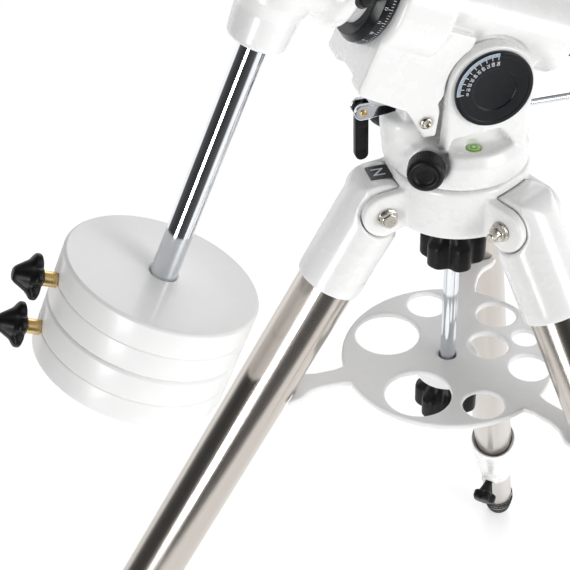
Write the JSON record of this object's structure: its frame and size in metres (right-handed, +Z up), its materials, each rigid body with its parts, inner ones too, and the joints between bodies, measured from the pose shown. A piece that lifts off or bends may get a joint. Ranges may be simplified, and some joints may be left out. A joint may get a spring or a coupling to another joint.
{
  "type": "equatorial mount",
  "caption": "Equatorial telescope mount with worm-driven axes, counterweights on a bar, dovetail saddle and a tubular tripod with an eyepiece tray",
  "frame": {"origin": "on the ground, under the centre of the whole object's box at rest", "axes": "+Z up, +Y north (the way the polar axis points), +X east"},
  "size_m": [1.0796, 0.9397, 1.275],
  "materials": {
    "white_casting": "gloss white paint on cast aluminium",
    "white_weight": "satin white powder coat on iron",
    "tray_paint": "light grey-white paint on an aluminium plate",
    "leg_steel": "polished and brushed stainless tube",
    "chrome_steel": "mirror chrome",
    "nickel_steel": "nickel-plated steel",
    "bronze_gear": "machined bronze",
    "black_plastic": "moulded black plastic",
    "scale_black": null,
    "level_green": "clear vial with green fluid",
    "foot_rubber": "moulded rubber"
  },
  "bodies": {
    "tripod_head": {"tripod_head": "white_casting", "hinge_bolt_north": "nickel_steel", "hinge_bolt_southwest": "nickel_steel", "hinge_bolt_southeast": "nickel_steel"},
    "centre_screw": {"centre_rod": "chrome_steel", "head_knob": "black_plastic"},
    "leg_north": {"leg_casting_north": "white_casting", "upper_tube_north": "leg_steel", "clamp_collar_north": "white_casting"},
    "clamp_screw_north": {"clamp_knob_north": "black_plastic"},
    "lower_leg_north": {"lower_tube_north": "leg_steel", "rubber_foot_north": "foot_rubber"},
    "leg_southwest": {"leg_casting_southwest": "white_casting", "upper_tube_southwest": "leg_steel", "clamp_collar_southwest": "white_casting"},
    "clamp_screw_southwest": {"clamp_knob_southwest": "black_plastic"},
    "lower_leg_southwest": {"lower_tube_southwest": "leg_steel", "rubber_foot_southwest": "foot_rubber"},
    "leg_southeast": {"leg_casting_southeast": "white_casting", "upper_tube_southeast": "leg_steel", "clamp_collar_southeast": "white_casting"},
    "clamp_screw_southeast": {"clamp_knob_southeast": "black_plastic"},
    "lower_leg_southeast": {"lower_tube_southeast": "leg_steel", "rubber_foot_southeast": "foot_rubber"},
    "tray": {"accessory_tray": "tray_paint"},
    "tray_screw": {"tray_knob": "black_plastic"},
    "azimuth_base": {"azimuth_base": "white_casting", "bubble_level": "level_green"},
    "azimuth_screw_west": {"azimuth_knob_west": "black_plastic"},
    "azimuth_screw_east": {"azimuth_knob_east": "black_plastic"},
    "polar_housing": {"polar_housing": "white_casting", "latitude_cover": "scale_black", "polar_scope": "black_plastic"},
    "altitude_screw_north": {"altitude_bolt_north": "chrome_steel"},
    "altitude_handle_north": {"altitude_handle_north": "black_plastic"},
    "altitude_screw_south": {"altitude_bolt_south": "chrome_steel"},
    "altitude_handle_south": {"altitude_handle_south": "black_plastic"},
    "ra_axis": {"ra_shaft": "nickel_steel", "ra_worm_wheel": "bronze_gear", "dec_housing": "white_casting", "counterweight_bar": "chrome_steel", "toe_saver_cap": "black_plastic"},
    "ra_worm": {"ra_worm": "nickel_steel", "ra_slow_motion_knob": "black_plastic"},
    "ra_circle": {"ra_setting_circle": "scale_black"},
    "ra_clutch": {"ra_clutch_lever": "black_plastic"},
    "polar_cap": {"polar_cap": "black_plastic"},
    "dec_axis": {"dec_shaft": "nickel_steel", "dec_worm_wheel": "bronze_gear", "saddle": "white_casting"},
    "dec_worm": {"dec_worm": "nickel_steel", "dec_slow_motion_knob": "black_plastic"},
    "dec_circle": {"dec_setting_circle": "scale_black"},
    "dec_clutch": {"dec_clutch_lever": "black_plastic"},
    "saddle_screw_front": {"saddle_knob_front": "black_plastic"},
    "saddle_screw_rear": {"saddle_knob_rear": "black_plastic"},
    "weight_upper": {"counterweight_upper": "white_weight"},
    "weight_screw_upper": {"weight_knob_upper": "black_plastic"},
    "weight_lower": {"counterweight_lower": "white_weight"},
    "weight_screw_lower": {"weight_knob_lower": "black_plastic"}
  },
  "joints": [
    {"name": "leg_fold_north", "type": "hinge", "parent": "tripod_head", "child": "leg_north", "pos_m": [0, -0.09, 0.956], "axis": [-1, 0, 0], "range_deg": [0, 3.5]},
    {"name": "leg_extension_north", "type": "slide", "parent": "leg_north", "child": "lower_leg_north", "axis": [0, 0.5, -0.866], "range_m": [-0.07, 0.38]},
    {"name": "clamp_knob_turn_north", "type": "hinge", "parent": "leg_north", "child": "clamp_screw_north", "pos_m": [-0.00598, 0.31412, 0.17088], "axis": [-0.1392, -0.8576, -0.4951], "continuous": true},
    {"name": "leg_fold_southwest", "type": "hinge", "parent": "tripod_head", "child": "leg_southwest", "pos_m": [-0.05283, -0.1815, 0.956], "axis": [0.5, -0.866, 0], "range_deg": [0, 3.5]},
    {"name": "leg_extension_southwest", "type": "slide", "parent": "leg_southwest", "child": "lower_leg_southwest", "axis": [-0.433, -0.25, -0.866], "range_m": [-0.07, 0.38]},
    {"name": "clamp_knob_turn_southwest", "type": "hinge", "parent": "leg_southwest", "child": "clamp_screw_southwest", "pos_m": [-0.39982, -0.38874, 0.17088], "axis": [0.8123, 0.3083, -0.4951], "continuous": true},
    {"name": "leg_fold_southeast", "type": "hinge", "parent": "tripod_head", "child": "leg_southeast", "pos_m": [0.05283, -0.1815, 0.956], "axis": [0.5, 0.866, 0], "range_deg": [0, 3.5]},
    {"name": "leg_extension_southeast", "type": "slide", "parent": "leg_southeast", "child": "lower_leg_southeast", "axis": [0.433, -0.25, -0.866], "range_m": [-0.07, 0.38]},
    {"name": "clamp_knob_turn_southeast", "type": "hinge", "parent": "leg_southeast", "child": "clamp_screw_southeast", "pos_m": [0.4058, -0.37838, 0.17088], "axis": [-0.6731, 0.5493, -0.4951], "continuous": true},
    {"name": "tray_drop", "type": "slide", "parent": "tripod_head", "child": "tray", "axis": [0, 0, -1], "range_m": [0, 0.0281]},
    {"name": "tray_knob_turn", "type": "hinge", "parent": "tray", "child": "tray_screw", "pos_m": [0, -0.151, 0.75], "axis": [0, 0, 1], "continuous": true},
    {"name": "centre_screw_turn", "type": "hinge", "parent": "tripod_head", "child": "centre_screw", "pos_m": [0, -0.151, 0.894], "axis": [0, 0, 1], "continuous": true},
    {"name": "azimuth_turn", "type": "hinge", "parent": "tripod_head", "child": "azimuth_base", "pos_m": [0, -0.151, 0.983], "axis": [0, 0, 1], "range_deg": [-6, 6]},
    {"name": "azimuth_screw_travel_west", "type": "slide", "parent": "azimuth_base", "child": "azimuth_screw_west", "axis": [-0.9107, 0.4131, 0], "range_m": [-0.002, 0.002]},
    {"name": "azimuth_screw_travel_east", "type": "slide", "parent": "azimuth_base", "child": "azimuth_screw_east", "axis": [0.9107, 0.4131, 0], "range_m": [-0.002, 0.002]},
    {"name": "altitude_turn", "type": "hinge", "parent": "azimuth_base", "child": "polar_housing", "pos_m": [0, -0.159, 1.057], "axis": [1, 0, 0], "range_deg": [-2, 20]},
    {"name": "altitude_screw_travel_north", "type": "slide", "parent": "azimuth_base", "child": "altitude_screw_north", "axis": [0, 1, 0], "range_m": [-0.001, 0.009]},
    {"name": "altitude_handle_fold_north", "type": "hinge", "parent": "altitude_screw_north", "child": "altitude_handle_north", "pos_m": [0, -0.0778, 1.034], "axis": [1, 0, 0], "range_deg": [0, 90]},
    {"name": "altitude_screw_travel_south", "type": "slide", "parent": "azimuth_base", "child": "altitude_screw_south", "axis": [0, 1, 0], "range_m": [-0.0015, 0.0145]},
    {"name": "altitude_handle_fold_south", "type": "hinge", "parent": "altitude_screw_south", "child": "altitude_handle_south", "pos_m": [0, -0.25, 1.016], "axis": [-1, 0, 0], "range_deg": [0, 90]},
    {"name": "ra_turn", "type": "hinge", "parent": "polar_housing", "child": "ra_axis", "pos_m": [0, -0.02806, 1.1521], "axis": [0, 0.9171, 0.3987], "continuous": true},
    {"name": "ra_worm_turn", "type": "hinge", "parent": "polar_housing", "child": "ra_worm", "pos_m": [0, -0.09333, 1.07651], "axis": [1, 0, 0], "continuous": true},
    {"name": "ra_circle_turn", "type": "hinge", "parent": "polar_housing", "child": "ra_circle", "pos_m": [0, -0.08125, 1.12898], "axis": [0, 0.9171, 0.3987], "continuous": true},
    {"name": "ra_clutch_turn", "type": "hinge", "parent": "ra_axis", "child": "ra_clutch", "pos_m": [-0.02818, -0.07078, 1.15505], "axis": [-0.8192, -0.2287, 0.526], "range_deg": [-30, 30]},
    {"name": "polar_cap_pull", "type": "slide", "parent": "ra_axis", "child": "polar_cap", "axis": [0, 0.9171, 0.3987], "range_m": [0, 0.02]},
    {"name": "dec_turn", "type": "hinge", "parent": "ra_axis", "child": "dec_axis", "pos_m": [0, -0.02806, 1.1521], "axis": [0, -0.3987, 0.9171], "continuous": true},
    {"name": "dec_worm_turn", "type": "hinge", "parent": "ra_axis", "child": "dec_worm", "pos_m": [0.0323, -0.04321, 1.18695], "axis": [0, 0.9171, 0.3987], "continuous": true},
    {"name": "dec_circle_turn", "type": "hinge", "parent": "ra_axis", "child": "dec_circle", "pos_m": [0, -0.05199, 1.20713], "axis": [0, -0.3987, 0.9171], "continuous": true},
    {"name": "dec_clutch_turn", "type": "hinge", "parent": "ra_axis", "child": "dec_clutch", "pos_m": [-0.0344, -0.04321, 1.18695], "axis": [-1, 0, 0], "range_deg": [-30, 30]},
    {"name": "saddle_screw_travel_front", "type": "slide", "parent": "dec_axis", "child": "saddle_screw_front", "axis": [1, 0, 0], "range_m": [-0.003, 0.008]},
    {"name": "saddle_screw_travel_rear", "type": "slide", "parent": "dec_axis", "child": "saddle_screw_rear", "axis": [1, 0, 0], "range_m": [-0.003, 0.008]},
    {"name": "weight_slide_upper", "type": "slide", "parent": "ra_axis", "child": "weight_upper", "axis": [0, -0.3987, 0.9171], "range_m": [0, 0.14]},
    {"name": "weight_screw_travel_upper", "type": "slide", "parent": "weight_upper", "child": "weight_screw_upper", "axis": [0, 0.9171, 0.3987], "range_m": [-0.0025, 0.008]},
    {"name": "weight_slide_lower", "type": "slide", "parent": "ra_axis", "child": "weight_lower", "axis": [0, -0.3987, 0.9171], "range_m": [-0.009, 0]},
    {"name": "weight_screw_travel_lower", "type": "slide", "parent": "weight_lower", "child": "weight_screw_lower", "axis": [0, 0.9171, 0.3987], "range_m": [-0.0025, 0.008]}
  ],
  "couplings": [
    {"joint": "leg_fold_southwest", "follows": "leg_fold_north", "ratio": 1},
    {"joint": "leg_fold_southeast", "follows": "leg_fold_north", "ratio": 1},
    {"joint": "tray_drop", "follows": "leg_fold_north", "m_per_rad": 0.45837},
    {"joint": "azimuth_screw_travel_west", "follows": "azimuth_turn", "m_per_rad": -0.018487},
    {"joint": "azimuth_screw_travel_east", "follows": "azimuth_turn", "m_per_rad": 0.018487},
    {"joint": "altitude_screw_travel_north", "follows": "altitude_turn", "m_per_rad": 0.02522},
    {"joint": "altitude_screw_travel_south", "follows": "altitude_turn", "m_per_rad": 0.04127},
    {"joint": "ra_worm_turn", "follows": "ra_turn", "ratio": 72},
    {"joint": "dec_worm_turn", "follows": "dec_turn", "ratio": 72}
  ]
}
